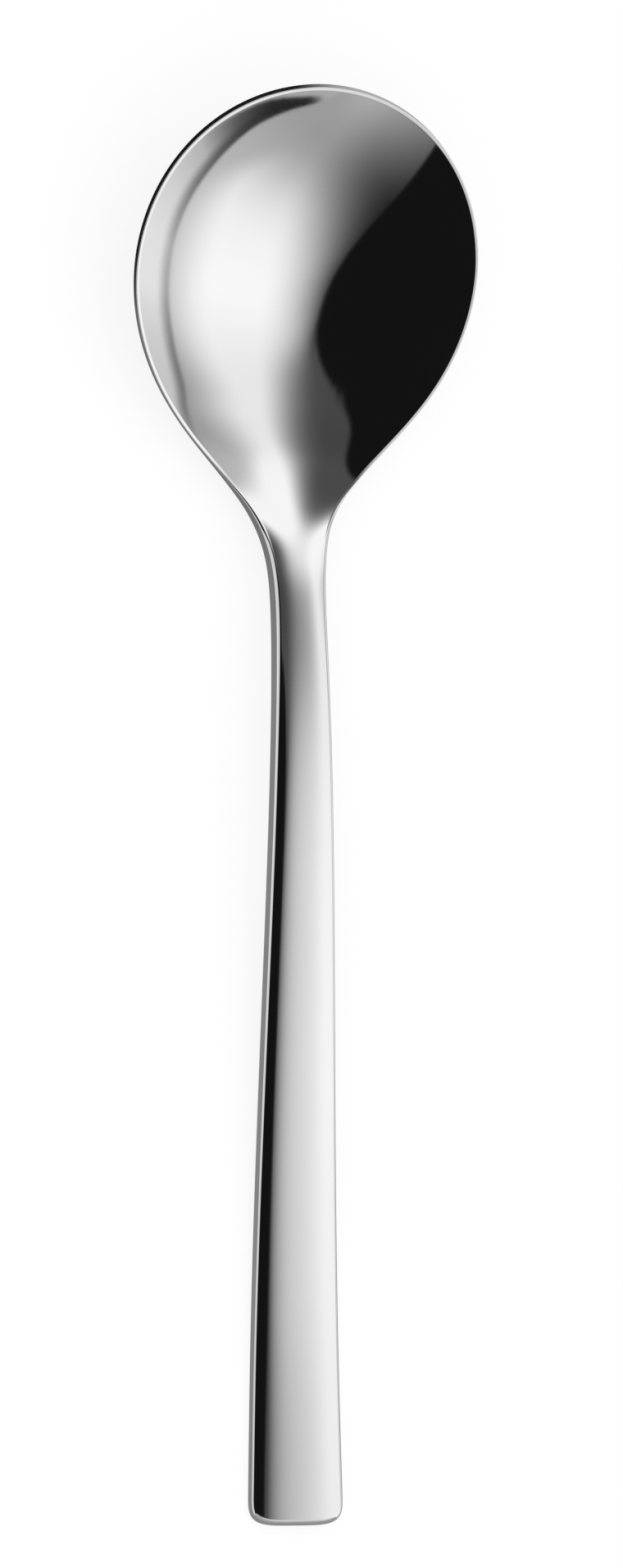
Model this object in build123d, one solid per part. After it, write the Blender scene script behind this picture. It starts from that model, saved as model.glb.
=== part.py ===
# Round soup spoon in polished steel: a dished bowl and a flat-backed handle that meet at the neck.
# Millimetres. Y runs from the handle's end to the tip of the bowl, and Z is up from the table.

from build123d import *
import math
import os

# Outline seen from above
overall_length = 180.0
bowl_length = 48.1
bowl_width = 45.0
bowl_fullness = 0.19  # how much wider the bowl is towards the tip than towards the neck
neck_softness = 3.2  # how gently the bowl runs into the handle
neck_length = 20.0  # from the bowl back to the waist, where the handle is narrowest
waist_width = 6.72
handle_end_width = 12.4  # before the corners are rounded
end_round_depth = 4.4
end_round_power = 4.2  # 2 is an ellipse, more is squarer

# Bowl
bowl_depth = 7.5
bowl_floor_thickness = 1.9
rim_thickness = 1.45
rim_tilt = 15.0  # degrees, the tip is the high end
dish_reach = 4.3  # how far past the bowl's root the full dish is reached

# Handle thickness at the edge, and the crown across its upper face
end_thickness = 1.5
waist_thickness = 2.5
crown_rise = 0.037  # height of the even crown for each mm of half width
end_flank_rise = 0.04  # the same for the part of it that rounds the flanks, at the handle's end
waist_flank_rise = 0.06

# Height of the handle's underside above the table, from its end to the throat
rest_grind = 0.05  # ground off below the end, where the handle rests
heel_lift = 0.08
middle_lift = 3.66
arch_lift = 4.18
shoulder_lift = 3.69
throat_lift = 2.52

# Places of those heights
heel_from_end = 22.0
middle_share = 0.58  # of the way from the heel to the arch
arch_from_bowl = 16.8
shoulder_from_bowl = 11.6
throat_from_bowl = 3.8

# Edges, and the joint between bowl and handle
upper_edge_radius = 0.3
under_edge_radius = 0.3
joint_from_bowl = 17.0

bowl_root = overall_length - bowl_length
bowl_middle = overall_length - bowl_length / 2
waist = bowl_root - neck_length
half_bowl_width = bowl_width / 2
bowl_dish = bowl_depth / half_bowl_width**2
bowl_under_dish = bowl_dish + (bowl_floor_thickness - rim_thickness) / half_bowl_width**2


def soft_ramp(value):
    """Nothing for low values, the value itself for high ones, and smooth between."""
    return max(value, 0) + math.log1p(math.exp(-abs(value)))


def neck_share(y):
    """0 on the handle, 1 in the bowl, eased along the neck."""
    step = min(max((y - waist) / (neck_length + dish_reach), 0), 1)
    return step**3 * (10 - 15 * step + 6 * step**2)


def half_width_squared(y):
    """Squared half width: a tapered handle that runs into an egg-shaped bowl."""
    from_tip = overall_length - y
    from_root = neck_softness * soft_ramp((bowl_length - from_tip) / neck_softness)
    fullness = 1 + bowl_fullness * (0.5 - from_tip / bowl_length)
    bowl = (bowl_width / bowl_length) ** 2 * from_tip * from_root * fullness
    waist_share = (waist_width / handle_end_width) ** 2 / (1 - waist / overall_length)
    taper = (1 - y / overall_length) * (1 - (1 - waist_share) * y / waist)
    return bowl + (handle_end_width / 2) ** 2 * taper


def half_width(y):
    """Half width of the outline, with the rounded end of the handle."""
    width = math.sqrt(max(half_width_squared(y), 0))
    if y < end_round_depth:
        width *= (1 - (1 - y / end_round_depth) ** end_round_power) ** (1 / end_round_power)
    return width


def edge_thickness(y):
    """Thickness of the steel along the edge."""
    handle = end_thickness + (waist_thickness - end_thickness) * y / waist
    return handle + (rim_thickness - handle) * neck_share(y)


def smooth_curve(stations):
    """A smooth curve through the stations, straight beyond both ends."""
    at = [station[0] for station in stations]
    level = [station[1] for station in stations]
    gap = [b - a for a, b in zip(at, at[1:])]
    rise = [(b - a) / g for a, b, g in zip(level, level[1:], gap)]
    bend = [0.0] * len(at)
    weight = [0.0] * len(at)
    load = [0.0] * len(at)
    for i in range(1, len(at) - 1):
        pivot = 2 * (gap[i - 1] + gap[i]) - gap[i - 1] * weight[i - 1]
        weight[i] = gap[i] / pivot
        load[i] = (6 * (rise[i] - rise[i - 1]) - gap[i - 1] * load[i - 1]) / pivot
    for i in range(len(at) - 2, 0, -1):
        bend[i] = load[i] - weight[i] * bend[i + 1]

    def height(y):
        i = sum(1 for a in at[1:-1] if a <= y)
        step = min(max(y, at[0]), at[-1]) - at[i]
        turn = (bend[i + 1] - bend[i]) / gap[i]
        start = rise[i] - gap[i] * (2 * bend[i] + bend[i + 1]) / 6
        slope = start + bend[i] * step + turn * step**2 / 2
        beyond = y - at[i] - step
        return level[i] + start * step + bend[i] * step**2 / 2 + turn * step**3 / 6 + slope * beyond

    return height


def edge_curve(rim_height):
    """Height of the upper edge; the rim is straight and passes rim_height at the bowl's middle."""
    arch = bowl_root - arch_from_bowl
    lifts = [
        (0, -rest_grind),
        (heel_from_end / 2, -rest_grind),
        (heel_from_end, heel_lift),
        (heel_from_end + middle_share * (arch - heel_from_end), middle_lift),
        (arch, arch_lift),
        (bowl_root - shoulder_from_bowl, shoulder_lift),
        (bowl_root - throat_from_bowl, throat_lift),
    ]
    stations = [(y, lift + edge_thickness(y)) for y, lift in lifts]
    rise = math.tan(math.radians(rim_tilt))
    for share in (0.02, 0.19, 0.48, 1):
        y = bowl_root + share * bowl_length
        stations.append((y, rim_height + rise * (y - bowl_middle)))
    return smooth_curve(stations)


def upper_face(edge, x, y):
    """Height of the upper face: crowned with rounder flanks on the handle, dished in the bowl."""
    squared = half_width_squared(y)
    across = x / math.sqrt(max(squared, 1))
    flank = end_flank_rise + (waist_flank_rise - end_flank_rise) * y / waist
    crown = crown_rise * (1 - across**2) + flank * (1 - across**4)
    share = neck_share(y)
    handle = (1 - share) * crown * math.sqrt(max(squared, 1))
    return edge(y) + handle - share * bowl_dish * (squared - x**2)


def under_face(edge, x, y):
    """Height of the underside: flat across the handle, round under the bowl."""
    dish = bowl_under_dish * neck_share(y)
    return edge(y) - edge_thickness(y) - dish * (half_width_squared(y) - x**2)


# The rim is as high as it has to be for the bowl to just touch the table
bowl_places = [bowl_root + bowl_length * i / 200 for i in range(10, 190)]
rim_height = bowl_depth
for _ in range(6):
    rim_height -= min(under_face(edge_curve(rim_height), 0, y) for y in bowl_places)
edge = edge_curve(rim_height)

# Sections across the spoon, closest together at the neck, and running past both ends
spare = 2.0
room = bowl_width
handle_places = [-spare + (waist + spare) * i / 16 for i in range(16)]
neck_places = [waist + neck_length * i / 12 for i in range(20)]
past_neck = overall_length + spare - neck_places[-1]
bowl_sections = [neck_places[-1] + past_neck * i / 12 for i in range(1, 13)]
section_places = handle_places + neck_places + bowl_sections


def sheet_side(y):
    """Half width of a section, a little wider than the outline."""
    narrow = handle_end_width / 2 + spare
    return narrow + (half_bowl_width + spare - narrow) * neck_share(y)


def below(face, floor):
    """Everything below one of the spoon's two faces."""
    sections = []
    for y in section_places:
        side = sheet_side(y)
        low = face(edge, side, y)
        middle = face(edge, 0, y)
        bend = (16 * face(edge, side / 2, y) - 15 * middle - low) / 3
        flank = low - middle - bend
        heights = [low, middle - flank, middle - bend / 3 + flank, middle - flank, low]
        across = Edge.make_bezier(*[(side * (i / 2 - 1), y, z) for i, z in enumerate(heights)])
        right = Edge.make_line((side, y, low), (side, y, floor))
        base = Edge.make_line((side, y, floor), (-side, y, floor))
        left = Edge.make_line((-side, y, floor), (-side, y, low))
        sections.append(Face(Wire([across, right, base, left])))
    return loft(sections)


under_the_top = below(upper_face, -room)
under_the_back = below(under_face, -2 * room)

# Points of the outline, closest together where it turns quickly
quarter = [math.pi / 2 * i / 12 for i in range(1, 13)]
end_places = [end_round_depth * (1 - math.cos(turn) ** (2 / end_round_power)) for turn in quarter]
side_places = [end_round_depth + (waist - end_round_depth) * (i / 14) ** 2.5 for i in range(1, 15)]
flank_places = [waist + (bowl_middle - waist) * i / 22 for i in range(1, 23)]
tip_places = [overall_length - bowl_length / 2 * math.cos(turn) ** 2 for turn in quarter[:-1]]
right_side = [(half_width(y), y) for y in end_places + side_places + flank_places + tip_places]
left_side = [(-x, y) for x, y in reversed(right_side)]
end_first = [(0, 0)] + right_side + [(0, overall_length)] + left_side
tip_first = [(0, overall_length)] + left_side + [(0, 0)] + right_side
joint = Plane((0, bowl_root - joint_from_bowl, 0), z_dir=(0, 1, 0))


def pressed(points, breaks, side):
    """The pressed spoon on one side of the joint; its outline starts at the other end."""
    whole = Edge.make_spline(points, periodic=True)
    spots = [Vector(way * half_width(y), y) for y in breaks for way in (-1, 1)]
    marks = sorted([0, 1] + [whole.param_at_point(spot) for spot in spots])
    outline = Wire([whole.trim(start, end) for start, end in zip(marks, marks[1:])])
    blank = extrude(Face(outline), amount=room, dir=(0, 0, 1), both=True)
    spoon = (blank & under_the_top) - under_the_back
    return split(spoon.solid(), bisect_by=joint, keep=side).solid()


def softened(piece):
    """The piece with its outline edges rounded, above and below."""
    for radius, upper in ((upper_edge_radius, True), (under_edge_radius, False)):
        borders = []
        for border in piece.edges():
            spot = border.position_at(0.5)
            level = edge(spot.Y) - edge_thickness(spot.Y) / 2
            upright = abs(border.tangent_at(0.5).Z) > 0.9
            at_joint = abs(spot.Y - joint.origin.Y) < 0.001
            if (spot.Z > level) == upper and not upright and not at_joint:
                borders.append(border)
        piece = piece.fillet(min(radius, rim_thickness / 3), borders)
    return piece


bowl = softened(pressed(end_first, [bowl_middle], Keep.TOP))
handle = softened(pressed(tip_first, [end_round_depth], Keep.BOTTOM))

# The handle's end is ground flat where it rests on the table
table = Box(2 * bowl_width, 2 * overall_length, room, align=(Align.CENTER, Align.CENTER, Align.MAX))
handle = (handle - table).solid()

# The origin is on the table, midway along the spoon
to_middle = Location((0, -overall_length / 2, 0))
os.makedirs("parts", exist_ok=True)
for name, piece in (("bowl", bowl), ("handle", handle)):
    export_step(piece.moved(to_middle), f"parts/{name}.step")
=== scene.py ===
"""Polished soup spoon on a white floor, seen from above and a little from its left."""
import math

import bpy
import numpy as np
from mathutils import Matrix, Vector


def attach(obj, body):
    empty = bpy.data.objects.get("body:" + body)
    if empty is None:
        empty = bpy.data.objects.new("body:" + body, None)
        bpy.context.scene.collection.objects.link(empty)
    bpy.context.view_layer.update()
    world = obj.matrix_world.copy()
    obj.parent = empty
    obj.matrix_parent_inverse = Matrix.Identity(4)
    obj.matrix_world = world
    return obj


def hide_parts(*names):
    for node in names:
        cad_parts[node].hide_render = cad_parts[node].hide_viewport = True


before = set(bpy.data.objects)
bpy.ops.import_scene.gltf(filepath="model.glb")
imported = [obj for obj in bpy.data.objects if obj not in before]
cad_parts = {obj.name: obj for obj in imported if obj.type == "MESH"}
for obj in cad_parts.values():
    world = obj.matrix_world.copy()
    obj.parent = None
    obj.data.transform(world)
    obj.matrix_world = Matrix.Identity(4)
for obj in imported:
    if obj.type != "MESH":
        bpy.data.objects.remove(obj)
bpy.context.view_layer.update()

# The part's sizes in millimetres. Y runs from the handle's end to the tip, and the frame's origin is midway.
# Outline seen from above
LENGTH = 180.0
BOWL_LENGTH = 48.1
BOWL_WIDTH = 45.0
FULLNESS = 0.19  # how much wider the bowl is towards the tip than towards the neck
SOFTNESS = 3.2  # how gently the bowl runs into the handle
NECK_LENGTH = 20.0  # from the bowl back to the waist, where the handle is narrowest
WAIST_WIDTH = 6.72
END_WIDTH = 12.4  # before the corners are rounded
END_DEPTH = 4.4
END_POWER = 4.2  # 2 is an ellipse, more is squarer

# Bowl
DEPTH = 7.5
BOWL_FLOOR = 1.9
RIM = 1.45
TILT = 15.0  # degrees, the tip is the high end
REACH = 4.3  # how far past the bowl's root the full dish is reached
RIM_SHARES = (0.02, 0.19, 0.48, 1.0)  # places along the bowl that keep its rim straight

# Handle thickness at the edge, and the crown across its upper face for each mm of half width
END_THICK = 1.5
WAIST_THICK = 2.5
CROWN = 0.037
END_FLANK = 0.04
WAIST_FLANK = 0.06

# Height of the handle's underside above the table, from its end to the throat
GRIND = 0.05  # ground off below the end, where the handle rests
HEEL_LIFT = 0.08
MIDDLE_LIFT = 3.66
ARCH_LIFT = 4.18
SHOULDER_LIFT = 3.69
THROAT_LIFT = 2.52

# Places of those heights, from the end or back from the bowl, and of the joint
HEEL = 22.0
MIDDLE_SHARE = 0.58  # of the way from the heel to the arch
ARCH_BACK = 16.8
SHOULDER_BACK = 11.6
THROAT_BACK = 3.8
JOINT_BACK = 17.0

# Edges, and the narrow flat land on the bowl's rim
UNDER_RADIUS = 0.3
HANDLE_RADIUS = 0.7
RIM_RADIUS = 0.1
LAND = 0.3
LAND_RADIUS = 0.25
LAND_RISE = 4.0  # degrees, outwards

ROOT = LENGTH - BOWL_LENGTH
MIDDLE = LENGTH - BOWL_LENGTH / 2
WAIST = ROOT - NECK_LENGTH
ARCH = ROOT - ARCH_BACK
JOINT = ROOT - JOINT_BACK
HALF = BOWL_WIDTH / 2
BOWL_DISH = DEPTH / HALF**2
UNDER_DISH = BOWL_DISH + (BOWL_FLOOR - RIM) / HALF**2
LIFTS = [(0.0, -GRIND), (HEEL / 2, -GRIND), (HEEL, HEEL_LIFT),
         (HEEL + MIDDLE_SHARE * (ARCH - HEEL), MIDDLE_LIFT), (ARCH, ARCH_LIFT),
         (ROOT - SHOULDER_BACK, SHOULDER_LIFT), (ROOT - THROAT_BACK, THROAT_LIFT)]

# Steps of the mesh, and half the lengths over which slopes are measured
SIDE_STEPS = 120
TURN_STEPS = 110
END_STEPS = 12
END_FAN = 8.0  # mm from the handle's end, where the ribs start to fan out
FACE_STEPS = 36
LAND_STEPS = 5
ROUND_STEPS = 8
WALL_STEPS = 3
WELD_DIGITS = 5
FACE_PROBE = 1e-3
EDGE_PROBE = 0.02
OUTLINE_PROBE = 1e-4
CONTACT_STEPS = 200
CONTACT_MARGIN = 10
CONTACT_ROUNDS = 6
LEAST_SQUARED = 1  # squared half width, so that the crown's formula holds up to the tip
MM = 1000  # in a metre


def mix(start, end, share):
    """From start to end by a share."""
    return start + (end - start) * share


def eased(low, high, value):
    """0 below low, 1 above high, and smooth between."""
    step = np.clip((value - low) / (high - low), 0, 1)
    return step * step * (3 - 2 * step)


def neck_share(y):
    """0 on the handle, 1 in the bowl."""
    step = np.clip((y - WAIST) / (NECK_LENGTH + REACH), 0, 1)
    return step**3 * (10 - 15 * step + 6 * step * step)


def width_squared(y):
    """Squared half width of the outline."""
    from_tip = LENGTH - y
    root = SOFTNESS * np.logaddexp(0, (BOWL_LENGTH - from_tip) / SOFTNESS)
    fullness = 1 + FULLNESS * (0.5 - from_tip / BOWL_LENGTH)
    bowl = (BOWL_WIDTH / BOWL_LENGTH) ** 2 * from_tip * root * fullness
    waist = (WAIST_WIDTH / END_WIDTH) ** 2 / (1 - WAIST / LENGTH)
    return bowl + (END_WIDTH / 2) ** 2 * (1 - y / LENGTH) * (1 - (1 - waist) * y / WAIST)


def thickness(y):
    """Thickness of the steel along the edge."""
    handle = END_THICK + (WAIST_THICK - END_THICK) * y / WAIST
    return mix(handle, RIM, neck_share(y))


def smooth_curve(at, level):
    """A natural cubic curve through the stations, straight beyond both ends."""
    gap = np.diff(at)
    count = len(at)
    rows, load = np.eye(count), np.zeros(count)
    for i in range(1, count - 1):
        rows[i, i - 1:i + 2] = gap[i - 1], 2 * (gap[i - 1] + gap[i]), gap[i]
        load[i] = 6 * ((level[i + 1] - level[i]) / gap[i] - (level[i] - level[i - 1]) / gap[i - 1])
    bend = np.linalg.solve(rows, load)

    def height(y):
        y = np.asarray(y, float)
        i = np.clip(np.searchsorted(at, y, side="right") - 1, 0, count - 2)
        step = np.clip(y, at[0], at[-1]) - at[i]
        turn = (bend[i + 1] - bend[i]) / gap[i]
        start = (level[i + 1] - level[i]) / gap[i] - gap[i] * (2 * bend[i] + bend[i + 1]) / 6
        slope = start + bend[i] * step + turn * step * step / 2
        within = level[i] + start * step + bend[i] * step**2 / 2 + turn * step**3 / 6
        return within + slope * (y - at[i] - step)

    return height


def edge_curve(rim):
    """Height of the upper edge along the spoon."""
    stations = [(y, lift + float(thickness(y))) for y, lift in LIFTS]
    for share in RIM_SHARES:
        y = ROOT + share * BOWL_LENGTH
        stations.append((y, rim + math.tan(math.radians(TILT)) * (y - MIDDLE)))
    stations = np.array(stations)
    return smooth_curve(stations[:, 0], stations[:, 1])


def under_side(x, y, edge):
    """Underside below an upper edge: flat across the handle, round under the bowl."""
    return edge(y) - thickness(y) - UNDER_DISH * neck_share(y) * (width_squared(y) - x * x)


# The rim is as high as it has to be for the bowl to just touch the table
places = ROOT + BOWL_LENGTH * np.arange(CONTACT_MARGIN, CONTACT_STEPS - CONTACT_MARGIN) / CONTACT_STEPS
rim_height = DEPTH
for _ in range(CONTACT_ROUNDS):
    rim_height -= under_side(0 * places, places, edge_curve(rim_height)).min()
EDGE = edge_curve(rim_height)


def upper(x, y):
    """Upper face: crowned with rounder flanks on the handle, dished in the bowl."""
    share = neck_share(y)
    squared = width_squared(y)
    half = np.sqrt(np.maximum(squared, LEAST_SQUARED))
    flank = END_FLANK + (WAIST_FLANK - END_FLANK) * y / WAIST
    crown = CROWN * (1 - (x / half) ** 2) + flank * (1 - (x / half) ** 4)
    return EDGE(y) + (1 - share) * crown * half - BOWL_DISH * share * (squared - x * x)


def under(x, y):
    """Underside of the spoon."""
    return under_side(x, y, EDGE)


def face_normal(face, spot, way):
    """Normals of one of the two faces, upwards or downwards."""
    probe = FACE_PROBE
    x, y = spot[:, 0], spot[:, 1]
    slope_x = (face(x + probe, y) - face(x - probe, y)) / (2 * probe)
    slope_y = (face(x, y + probe) - face(x, y - probe)) / (2 * probe)
    normal = np.stack([-slope_x * way, -slope_y * way, np.full_like(x, way)], -1)
    return normal / np.linalg.norm(normal, axis=-1, keepdims=True)


def outline(kind):
    """Right-hand outline from the joint outwards: points, the spine point of each, and the way out."""
    if kind == "bowl":
        turn = np.linspace(0, np.pi / 2, TURN_STEPS + 1)[1:]
        straight = np.linspace(JOINT, MIDDLE, SIDE_STEPS)
        y = np.concatenate([straight, MIDDLE + (LENGTH - MIDDLE) * np.sin(turn)])
        y[-1] = LENGTH
        x = np.sqrt(np.clip(width_squared(y), 0, None))
        spine = np.minimum(y, MIDDLE)
        probe = OUTLINE_PROBE
        slope = (width_squared(y + probe) - width_squared(y - probe)) / (2 * probe)
        way = np.stack([x, -slope / 2], -1)
        way[-1] = (0, 1)
    else:
        turn = np.linspace(np.pi / 2, 0, TURN_STEPS + 1)[1:]
        straight = np.linspace(JOINT, END_FAN, SIDE_STEPS)
        straight = np.concatenate([straight, np.linspace(END_FAN, END_DEPTH, END_STEPS)[1:]])
        y = np.concatenate([straight, END_DEPTH * (1 - np.cos(turn) ** (2 / END_POWER))])
        y[-1] = 0
        cap = np.concatenate([np.ones(len(straight)), np.sin(turn) ** (2 / END_POWER)])
        x = np.sqrt(width_squared(y)) * cap
        spine = np.maximum(y, END_FAN)
        run = np.gradient(np.stack([x, y], -1), axis=0)
        way = np.stack([-run[:, 1], run[:, 0]], -1)
        way[-1] = (0, -1)
    x[-1] = 0
    way = way / np.linalg.norm(way, axis=-1, keepdims=True)
    way[0] = (1, 0)
    return np.stack([x, y], -1), np.stack([0 * x, spine], -1), way


def ribs(kind):
    """Rows of points from the spine over the upper face, round the edge and back below, with their normals.

    The bowl's rim has a narrow flat land, and its side wall leans with the tilted rim. The handle's upper
    edge is plainly rounded.
    """
    line, spine, way = outline(kind)
    probe = EDGE_PROBE
    y = line[:, 1]
    share = neck_share(y)
    along_rim = np.stack([-way[:, 1], way[:, 0]], -1)
    rise = (EDGE(y + probe) - EDGE(y - probe)) / (2 * probe)
    climb = (rise * along_rim[:, 1])[:, None]
    land = LAND * share
    top_r = mix(HANDLE_RADIUS, RIM_RADIUS, share)
    low_r = np.full_like(top_r, UNDER_RADIUS)
    lean = share * rise * way[:, 1] * thickness(y)
    brink = line - np.maximum(lean, 0)[:, None] * way
    foot = line + np.minimum(lean / 2, 0)[:, None] * way

    def slope_out(face, start, back):
        a, b = start - (back - probe)[:, None] * way, start - (back + probe)[:, None] * way
        return np.arctan((face(a[:, 0], a[:, 1]) - face(b[:, 0], b[:, 1])) / (2 * probe))

    tilt_up, tilt_down = slope_out(upper, brink, top_r + land), slope_out(under, foot, low_r / 2)
    land_tilt = mix(tilt_up, np.arctan(rise * way[:, 1]) + math.radians(LAND_RISE), share)
    land_start = top_r * (1 + np.sin(land_tilt))
    corner = brink - (land_start + land)[:, None] * way
    corner_height = upper(corner[:, 0], corner[:, 1])
    half_turn = (tilt_up - land_tilt) / 2
    land_r = np.copysign(LAND_RADIUS, half_turn)
    above = corner - (land_r * np.tan(half_turn) * np.cos(tilt_up))[:, None] * way
    below = foot - (low_r * (1 - np.sin(tilt_down)))[:, None] * way
    top_centre = corner_height + land * np.tan(land_tilt) - top_r * np.cos(land_tilt)
    low_centre = under(below[:, 0], below[:, 1]) + low_r * np.cos(tilt_down)
    wall = np.arctan2(((foot - brink) * way).sum(-1), top_centre - low_centre)
    points, normals = [], []

    def on_face(face, rim, step, side):
        spot = spine + step * (rim - spine)
        points.append(np.column_stack([spot, face(spot[:, 0], spot[:, 1])]))
        normals.append(face_normal(face, spot, side))

    def on_edge(turn, spot, height):
        outward, upward = np.cos(turn)[:, None], np.sin(turn)[:, None]
        normal = np.column_stack([outward * way - upward * climb * along_rim, upward])
        points.append(np.column_stack([spot, height]))
        normals.append(normal / np.linalg.norm(normal, axis=-1, keepdims=True))

    def on_round(turn, start, radius, centre):
        out = radius * np.cos(turn) - radius
        on_edge(turn, start + out[:, None] * way, centre + radius * np.sin(turn))

    for step in np.linspace(0, 1, FACE_STEPS):
        on_face(upper, above, step, 1.0)
    middle_turn = np.pi / 2 + land_tilt + half_turn
    for step in np.linspace(0, 1, LAND_STEPS + 1)[1:]:
        turn = np.pi / 2 + tilt_up - 2 * half_turn * step
        out = land_r * (np.cos(turn) - np.cos(middle_turn) / np.cos(half_turn))
        lift = land_r * (np.sin(turn) - np.sin(middle_turn) / np.cos(half_turn))
        on_edge(turn, corner + out[:, None] * way, corner_height + lift)
    for step in np.linspace(1, 0, ROUND_STEPS + 1):
        on_round(mix(wall, np.pi / 2 + land_tilt, step), brink, top_r, top_centre)
    for step in np.arange(1, WALL_STEPS) / WALL_STEPS:
        on_round(wall, mix(brink, foot, step), mix(top_r, low_r, step), mix(top_centre, low_centre, step))
    for step in np.linspace(0, 1, ROUND_STEPS + 1)[:-1]:
        on_round(mix(wall, tilt_down - np.pi / 2, step), foot, low_r, low_centre)
    for step in np.linspace(1, 0, FACE_STEPS):
        on_face(under, below, step, -1.0)
    points = np.stack(points, 1)
    points[..., 2] = np.maximum(points[..., 2], 0)
    return points, np.stack(normals, 1)


def grid_faces(rows, columns):
    """Faces between rows and columns of points."""
    first = (np.arange(rows - 1)[:, None] * columns + np.arange(columns - 1)).ravel()
    return np.stack([first, first + columns, first + columns + 1, first + 1], -1)


def closed_faces(kind, rows, columns):
    """Faces of the right and the mirrored ribs and of the joint, and which of them close the joint."""
    side = grid_faces(rows, columns)[:, [0, 3, 2, 1]]
    step = np.arange(columns // 2 - 1)
    cap = np.stack([step, columns - 1 - step, columns - 2 - step, step + 1], -1)
    if kind == "handle":
        side, cap = side[:, ::-1], cap[:, ::-1]
    half = rows * columns
    corners = np.concatenate([side, side[:, ::-1] + half, cap, cap[:, ::-1] + half])
    return corners, np.arange(len(corners)) >= 2 * len(side)


def piece(name, kind):
    """One closed mesh of a piece, with the surface's own normals."""
    right, right_n = ribs(kind)
    mirror = np.array([-1.0, 1.0, 1.0])
    points = np.concatenate([right.reshape(-1, 3), (right * mirror).reshape(-1, 3)])
    normals = np.concatenate([right_n.reshape(-1, 3), (right_n * mirror).reshape(-1, 3)])
    key, where = np.unique(np.round(points, WELD_DIGITS), axis=0, return_inverse=True)
    where = where.ravel()
    faces, loop_normals = [], []
    facing = (0.0, -1.0, 0.0) if kind == "bowl" else (0.0, 1.0, 0.0)
    for quad, closing in zip(*closed_faces(kind, *right.shape[:2])):
        welded = where[quad]
        kept = [corner for corner in range(4) if welded[corner] != welded[corner - 1]]
        if len(kept) < 3:
            continue
        faces.append([int(welded[corner]) for corner in kept])
        own = [tuple(normals[quad[corner]]) for corner in kept]
        loop_normals.extend([facing] * len(kept) if closing else own)
    mesh = bpy.data.meshes.new(name)
    mesh.from_pydata((key - (0, LENGTH / 2, 0)) / MM, [], faces)
    mesh.polygons.foreach_set("use_smooth", [True] * len(mesh.polygons))
    mesh.normals_split_custom_set(loop_normals)
    mesh.update()
    shown = bpy.data.objects.new(name, mesh)
    bpy.context.scene.collection.objects.link(shown)
    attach(shown, "root")
    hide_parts(kind)
    return shown


class Nodes:
    """Short way to write a node tree."""

    def __init__(self, tree):
        self.tree = tree
        tree.nodes.clear()

    def add(self, kind, inputs=None, **settings):
        node = self.tree.nodes.new(kind)
        for name, value in settings.items():
            setattr(node, name, value)
        for name, value in (inputs or {}).items():
            if isinstance(value, bpy.types.NodeSocket):
                self.tree.links.new(value, node.inputs[name])
            else:
                node.inputs[name].default_value = value
        return node

    def math(self, operation, *values):
        return self.add("ShaderNodeMath", dict(enumerate(values)), operation=operation).outputs[0]

    def span(self, value, low, high, start, end):
        inputs = {"Value": value, "From Min": low, "From Max": high, "To Min": start, "To Max": end}
        return self.add("ShaderNodeMapRange", inputs).outputs["Result"]


def steel():
    """Mirror-polished stainless steel with faint polishing marks."""
    material = bpy.data.materials.new("polished_steel")
    material.use_nodes = True
    nodes = Nodes(material.node_tree)
    place = nodes.add("ShaderNodeTexCoord").outputs["Object"]
    cloud = nodes.add("ShaderNodeTexNoise", {"Vector": place, "Scale": 55.0, "Detail": 3.0})
    drawn = nodes.add("ShaderNodeMapping", {"Vector": place, "Scale": (5200.0, 260.0, 5200.0)})
    marks = nodes.add("ShaderNodeTexNoise", {"Vector": drawn.outputs[0], "Scale": 1.0, "Detail": 4.0,
                                             "Roughness": 0.65})
    colour = nodes.add("ShaderNodeMix", {"Factor": cloud.outputs["Fac"], "A": (0.80, 0.80, 0.80, 1),
                                         "B": (0.832, 0.832, 0.832, 1)}, data_type="RGBA")
    wiped = nodes.span(cloud.outputs["Fac"], 0.3, 0.7, 0.0, 0.018)
    scored = nodes.span(marks.outputs["Fac"], 0.35, 0.75, 0.025, 0.06)
    rough = nodes.math("ADD", wiped, scored)
    bump = nodes.add("ShaderNodeBump", {"Height": marks.outputs["Fac"], "Strength": 0.12,
                                        "Distance": 0.0000015})
    shader = nodes.add("ShaderNodeBsdfPrincipled", {"Base Color": colour.outputs["Result"], "Metallic": 1.0,
                                                    "Roughness": rough, "Normal": bump.outputs["Normal"]})
    nodes.add("ShaderNodeOutputMaterial", {"Surface": shader.outputs[0]})
    return material


metal = steel()
for shown in (piece("spoon_bowl", "bowl"), piece("spoon_handle", "handle")):
    shown.data.materials.append(metal)


def stage_mesh(name, points, faces, material):
    """A floor or card that belongs to the studio and not to the part."""
    mesh = bpy.data.meshes.new(name)
    mesh.from_pydata(points, [], faces)
    mesh.materials.append(material)
    made = bpy.data.objects.new(name, mesh)
    bpy.context.scene.collection.objects.link(made)
    return made


# Floor, in metres, and the light that brings its paper to white
FLOOR_SIDE = 30.0
FLOOR_HEIGHT = -0.0001
PAPER_GLOW = 0.81


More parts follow.
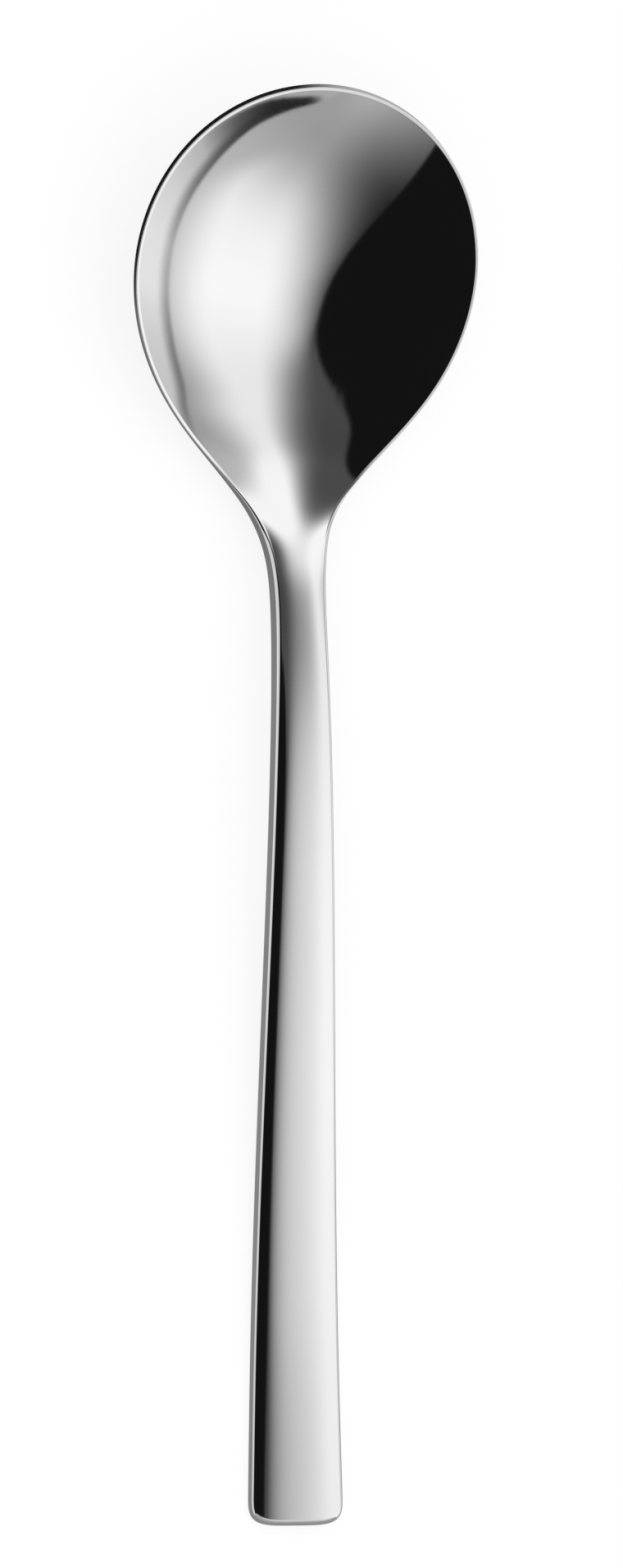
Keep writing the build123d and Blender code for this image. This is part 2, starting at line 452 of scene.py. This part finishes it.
def floor_material():
    """Matt white paper, which the camera and the metal see as white, with the spoon's shadow."""
    material = bpy.data.materials.new("white_paper")
    material.use_nodes = True
    nodes = Nodes(material.node_tree)
    path = nodes.add("ShaderNodeLightPath").outputs
    mirrored = nodes.math("MAXIMUM", path["Is Glossy Ray"], path["Is Transmission Ray"])
    seen = nodes.math("MAXIMUM", path["Is Camera Ray"], mirrored)
    place = nodes.add("ShaderNodeTexCoord").outputs["Object"]
    fibre = nodes.add("ShaderNodeTexNoise", {"Vector": place, "Scale": 900.0, "Detail": 3.0})
    colour = nodes.add("ShaderNodeMix", {"Factor": fibre.outputs["Fac"], "A": (0.20, 0.20, 0.20, 1),
                                         "B": (0.22, 0.22, 0.22, 1)}, data_type="RGBA")
    matt = nodes.add("ShaderNodeBsdfDiffuse", {"Color": colour.outputs["Result"]})
    strength = nodes.math("MULTIPLY", seen, PAPER_GLOW)
    lift = nodes.add("ShaderNodeEmission", {"Color": (1, 1, 1, 1), "Strength": strength})
    total = nodes.add("ShaderNodeAddShader", {0: matt.outputs[0], 1: lift.outputs[0]})
    nodes.add("ShaderNodeOutputMaterial", {"Surface": total.outputs[0]})
    return material


corners = [(-FLOOR_SIDE, -FLOOR_SIDE, FLOOR_HEIGHT), (FLOOR_SIDE, -FLOOR_SIDE, FLOOR_HEIGHT),
           (FLOOR_SIDE, FLOOR_SIDE, FLOOR_HEIGHT), (-FLOOR_SIDE, FLOOR_SIDE, FLOOR_HEIGHT)]
stage_mesh("floor", corners, [(0, 1, 2, 3)], floor_material())


# The studio that the steel mirrors, by angles in degrees to the right and towards the tip. Levels are display
# levels as the steel shows them. All of this was fitted to the reflections in the photograph.
# Softbox, at some angles towards the tip: levels at its dim left edge and in full light, where that edge
# starts and ends, level of its far end, where that starts, how wide the change is, and the left edge's skew
SOFTBOX = np.array([
    (-78, 164, 172, -12, 36, 158, 40, 26, 1),
    (-62, 96, 156, -10.9, 38.5, 158, 39.8, 22.3, 0.93),
    (-48, 38, 210, -22.2, 37.1, 177, 57.1, 14.5, 0.95),
    (-28, 15, 244, -4.4, 35.2, 170, 56.3, 35.8, 0.49),
    (-10, 60, 245, 5, 34.1, 135, 54.2, 45, 0.43),
    (3, 74, 233, 6.4, 34.4, 135, 45.1, 36.1, 0.73),
    (11, 67, 230, -1.4, 30.3, 163, 31.3, 23.6, 1.6),
    (22, 72, 241, 1.7, 26, 182, 31.8, 13.2, 1.6),
    (37, 70, 246, 18, 24.9, 120, 24.3, 10, 1.26),
])
LEAST_EDGE = 2  # width of the left edge
LEAST_CHANGE = 4  # width of the change to the far end
CLOTH_RANGE = (14, 252)  # levels

# Black flag: its right and left edges at some angles towards the tip, how soft they are, and where it ends
FLAG_EDGE = [(-70, -46), (-60, -33.4), (-54, -26.2), (-47.5, -18.6), (-40, -10.7), (-32, -4.2),
             (-23, 0.5), (-17, 2.8), (-12, 4.4), (-7, 5.6), (-4, 5.9), (-2, 5.8), (0, 5.1), (1.5, 4.5),
             (3.1, 3.4), (4.4, 2), (5.5, 0.3), (6.2, -1.5), (6.6, -3.2), (7.1, -5), (8.2, -6.5),
             (9.6, -7.4), (11.4, -7.3), (13.4, -6.5), (16.2, -5.5), (20, -4), (30, -2)]
FLAG_OUTER = [(0, -50), (8, -35), (16, -23), (24, -8), (34, 0)]
FLAG_SOFT = (-1.2, 1.6)
OUTER_SOFT = (0, 8)
FLAG_BOTTOM = (62, 64)  # towards the handle
FLAG_LEVEL = 18
LEFT_LEVEL = 205  # left of the flag

# Dark gap between the softbox and the table, at some angles towards the tip: where it starts and ends, its
# levels at the start and farther in, how soft its edges are, and where one level turns into the other
GAP_START = [(-72, 58), (-67, 64.8), (-64, 68.7), (-61, 71.7), (-58, 73.9), (-55, 75.6), (-50, 77),
             (-40, 77.8), (-30, 77.8), (-20, 76.3), (-10, 73.7), (-5, 72), (-1, 70.2), (2, 68.5),
             (5, 65.8), (9, 62), (20, 50)]
GAP_END = [(-72, 60), (-69, 66.5), (-67, 70.8), (-64, 75.6), (-61, 79.8), (-58, 82.8), (-55, 84.7),
           (-50, 86.8), (-45, 88.5), (-35, 92), (20, 96)]
GAP_DARK = [(-74, 165), (-69.5, 160), (-68, 80), (-66.5, 28), (-64, 26), (-58, 36), (-50, 58), (-40, 98),
            (-30, 135), (-20, 172), (-10, 163), (-1, 130), (5, 108), (9, 140), (20, 150)]
GAP_LIGHT = [(-74, 165), (-69.5, 160), (-68, 90), (-66.5, 34), (-64, 32), (-58, 38), (-50, 84), (-40, 180),
             (-30, 209), (-20, 224), (-10, 226), (-1, 205), (5, 195), (9, 200), (20, 205)]
GAP_SOFT = (-0.7, 0.9)
GAP_FADE = (0.8, 6)
TABLE_LEVEL = 167
TIP_LEVEL = 190  # far towards the tip
TIP_FADE = (44, 58)

# Dome that carries this light, in metres, degrees and steps
DOME_RADIUS = 20.0
DOME_ENDS = (-89.5, 89.5)
DOME_SIDES = (-90, 90)
DOME_ROWS = 240
DOME_COLUMNS = 301
STEEL_SHARE = 0.817  # of the light that the steel gives back
WHITE = 255

# Sheet on the table that only the metal sees, with the spoon's contact shadow painted on it: painted shade
# beside the outline, white farther out. In mm and levels. Pairs say where a change starts and ends.
CARD_LEFT = [(0, 132), (105, 126), (125, 112), (150, 100), (160, 26), (180, 22)]  # along Y, left of the spoon
CARD_RIGHT = 170
CARD_TIP = (155, 180)  # along Y, from the plain part to the tip's part
CARD_SWITCH = (0, 20)  # along X, from left to right
TIP_SWITCH = (4, 24)
CARD_SHADOW_FADE = (4, 45)  # away from the outline, from dark to white
TIP_SHADOW_FADE = (50, 70)
CARD_SIDE = 75
CARD_ENDS = (-40, 260)
CARD_HEIGHT = -0.05
CARD_STEPS = (61, 121)

# Card past the handle's end, in mm and levels
END_CARD_LEVELS = [(0, 140), (5, 142), (10, 158), (17, 172), (30, 182)]  # by height
END_CARD_SIDE = 20.0
END_CARD_TOP = 30
END_CARD_OFF = 10
END_CARD_STEPS = 13


def along(stations, angle):
    """Value of a list at an angle or place."""
    at, value = np.array(stations, float).T
    return np.interp(angle, at, value)


def studio_light(tipward, right):
    """Brightness of the studio in one row of directions."""
    near = np.clip(tipward, SOFTBOX[0, 0], SOFTBOX[-1, 0])
    here = [float(smooth_curve(SOFTBOX[:, 0], column)(near)) for column in SOFTBOX.T[1:]]
    dim, full, start, end, far, far_start, far_width, skew = here
    step = np.clip((right - start) / max(end - start, LEAST_EDGE), 0, 1)
    cloth = mix(dim, full, eased(0, 1, step**skew))
    cloth = mix(cloth, far, eased(far_start, far_start + max(far_width, LEAST_CHANGE), right))
    cloth = np.clip(cloth, *CLOTH_RANGE)
    past_edge = right - along(FLAG_EDGE, tipward)
    bare = np.maximum(eased(*FLAG_SOFT, past_edge), eased(*FLAG_BOTTOM, -tipward))
    shown = mix(FLAG_LEVEL, cloth, bare)
    gap_at, gap_value = np.array(GAP_START, float).T
    past_gap = right - float(smooth_curve(gap_at, gap_value)(np.clip(tipward, gap_at[0], gap_at[-1])))
    beyond = mix(along(GAP_DARK, tipward), along(GAP_LIGHT, tipward), eased(*GAP_FADE, past_gap))
    beyond = mix(beyond, TABLE_LEVEL, eased(*GAP_SOFT, right - along(GAP_END, tipward)))
    shown = mix(shown, beyond, eased(*GAP_SOFT, past_gap))
    shown = mix(shown, LEFT_LEVEL, eased(*OUTER_SOFT, along(FLAG_OUTER, tipward) - right))
    return glow(mix(shown, TIP_LEVEL, eased(*TIP_FADE, tipward)))


def glow(level):
    """Emission that the steel shows as a display level, by the sRGB curve."""
    share = level / WHITE
    return np.where(share <= 0.04045, share / 12.92, ((share + 0.055) / 1.055) ** 2.4) / STEEL_SHARE


def card(name, points, faces, brightness):
    """A lit or dark card that only the metal sees."""
    material = bpy.data.materials.new(name)
    material.use_nodes = True
    nodes = Nodes(material.node_tree)
    level = nodes.add("ShaderNodeAttribute", attribute_name="brightness").outputs["Fac"]
    shine = nodes.add("ShaderNodeEmission", {"Color": (1, 1, 1, 1), "Strength": level})
    nodes.add("ShaderNodeOutputMaterial", {"Surface": shine.outputs[0]})
    made = stage_mesh(name, points, faces.tolist(), material)
    shares = made.data.attributes.new("brightness", "FLOAT", "POINT")
    shares.data.foreach_set("value", brightness.astype(np.float32))
    made.visible_camera = False
    made.visible_diffuse = False
    made.visible_shadow = False


def contact_shadow_card():
    """A sheet on the table round the spoon that only the metal sees, with a painted contact shadow dark
    beside it, which draws the outline of the side faces.
    """
    across = np.linspace(-CARD_SIDE, CARD_SIDE, CARD_STEPS[0])
    x, y = np.meshgrid(across, np.linspace(*CARD_ENDS, CARD_STEPS[1]), indexing="ij")
    rim = np.concatenate([outline(kind)[0] for kind in ("bowl", "handle")])
    rim = np.concatenate([rim, rim * (-1, 1)])
    away = np.sqrt(((x[..., None] - rim[:, 0]) ** 2 + (y[..., None] - rim[:, 1]) ** 2).min(-1))
    inside = (y > 0) & (y < LENGTH) & (x * x < width_squared(np.clip(y, 0, LENGTH)))
    away[inside] = 0
    tip = eased(*CARD_TIP, y)
    switch = [mix(plain, at_tip, tip) for plain, at_tip in zip(CARD_SWITCH, TIP_SWITCH)]
    dark = [mix(plain, at_tip, tip) for plain, at_tip in zip(CARD_SHADOW_FADE, TIP_SHADOW_FADE)]
    near = mix(along(CARD_LEFT, y), CARD_RIGHT, eased(*switch, x))
    # painted contact shadow: dark levels beside the outline fade to white away from it
    level = mix(near, WHITE, eased(*dark, away))
    points = np.stack([x, y - LENGTH / 2, np.full_like(x, CARD_HEIGHT)], -1).reshape(-1, 3) / MM
    card("contact_shadow_card", points, grid_faces(*x.shape), glow(level).ravel())


def end_card():
    """A low grey card past the handle's end, which darkens the rounding there."""
    height = np.linspace(0, END_CARD_TOP, END_CARD_STEPS)
    x, z = np.meshgrid((-END_CARD_SIDE, END_CARD_SIDE), height, indexing="ij")
    points = np.stack([x, np.full_like(x, -LENGTH / 2 - END_CARD_OFF), z], -1).reshape(-1, 3) / MM
    card("end_card", points, grid_faces(*x.shape), glow(along(END_CARD_LEVELS, z)).ravel())


def tent():
    """A dome round the spoon that only the metal sees: softbox, black flag and dark gap above the table."""
    tipward = np.linspace(*DOME_ENDS, DOME_ROWS)
    right = np.linspace(*DOME_SIDES, DOME_COLUMNS)
    tip_angle, side_angle = np.radians(np.meshgrid(tipward, right, indexing="ij"))
    level_part = np.cos(tip_angle)
    way = [level_part * np.sin(side_angle), np.sin(tip_angle), level_part * np.cos(side_angle)]
    points = DOME_RADIUS * np.stack(way, -1)
    brightness = np.concatenate([studio_light(angle, right) for angle in tipward])
    card("light_tent", points.reshape(-1, 3), grid_faces(len(tipward), len(right)), brightness)


contact_shadow_card()
end_card()
tent()

# An even white world lights the floor, and is the white background beyond it
world = bpy.data.worlds.new("studio")
bpy.context.scene.world = world
world.use_nodes = True
nodes = Nodes(world.node_tree)
sky = nodes.add("ShaderNodeBackground", {"Color": (1, 1, 1, 1), "Strength": 1.0})
nodes.add("ShaderNodeOutputWorld", {"Surface": sky.outputs[0]})

# Camera, fitted to the photograph's outline: leans to the spoon's left, with a long lens. Degrees and mm.
LEAN = 19.3185
PITCH = 1.3254
ROLL = -0.6194
AIM_HEIGHT = 5
SHIFT_RIGHT = 1.5138
SHIFT_UP = 2.8277
DISTANCE = 3000.0
SENSOR = 36
PHOTO_HEIGHT = 1914  # pixels
PIXELS_PER_MM = 9.7489
CLIP_START, CLIP_END = 0.1, 40.0  # metres
lean, pitch, roll = (math.radians(v) for v in (LEAN, PITCH, ROLL))
back = Vector((-math.sin(lean) * math.cos(pitch), -math.sin(pitch), math.cos(lean) * math.cos(pitch)))
level_right = Vector((math.cos(lean), 0, math.sin(lean)))
level_up = back.cross(level_right)
right = level_right * math.cos(roll) + level_up * math.sin(roll)
up = level_up * math.cos(roll) - level_right * math.sin(roll)
data = bpy.data.cameras.new("camera")
data.lens = SENSOR * DISTANCE * PIXELS_PER_MM / PHOTO_HEIGHT
data.clip_start, data.clip_end = CLIP_START, CLIP_END
camera = bpy.data.objects.new("camera", data)
bpy.context.scene.collection.objects.link(camera)
spot = (Vector((0, 0, AIM_HEIGHT)) + right * SHIFT_RIGHT + up * SHIFT_UP + back * DISTANCE) / MM
camera.matrix_world = Matrix.Translation(spot) @ Matrix((right, up, back)).transposed().to_4x4()
bpy.context.scene.camera = camera

bpy.context.scene.view_settings.view_transform = "Standard"
